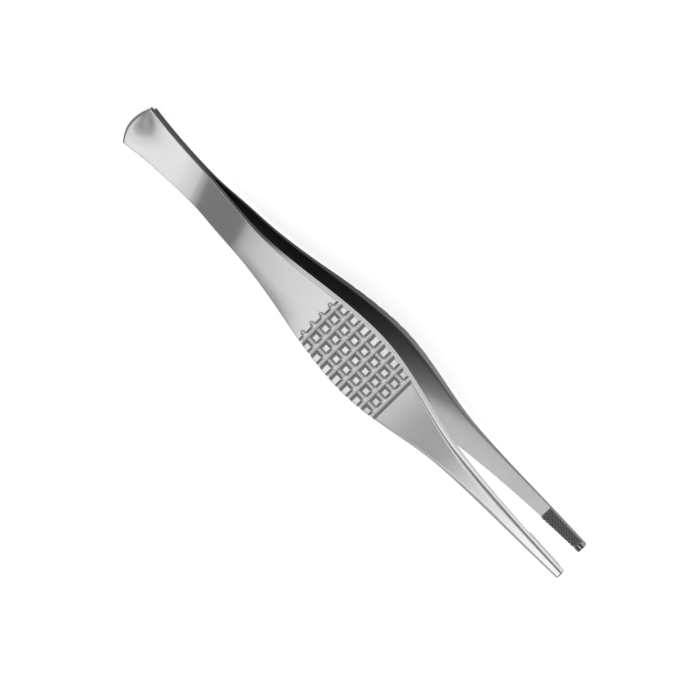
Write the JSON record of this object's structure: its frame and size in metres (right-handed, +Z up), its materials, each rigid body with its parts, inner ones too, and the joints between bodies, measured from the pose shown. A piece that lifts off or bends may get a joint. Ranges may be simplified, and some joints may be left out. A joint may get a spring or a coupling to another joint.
{
  "type": "thumb forceps",
  "caption": "Straight thumb forceps of stainless steel with a waffle grip on both broad arms, welded flared heel and slender toothed jaws with cross-cut platforms.",
  "frame": {"origin": "on the surface that the forceps lie on, under the middle of their length and width", "axes": "+X from the welded heel to the tips, +Y across the arms, +Z up and through both arms"},
  "size_m": [0.1806, 0.021, 0.0253],
  "materials": {
    "satin_steel": "fine satin, matt ground"
  },
  "bodies": {
    "root": {"two_tooth_arm": "satin_steel", "three_tooth_arm": "satin_steel"}
  },
  "joints": []
}
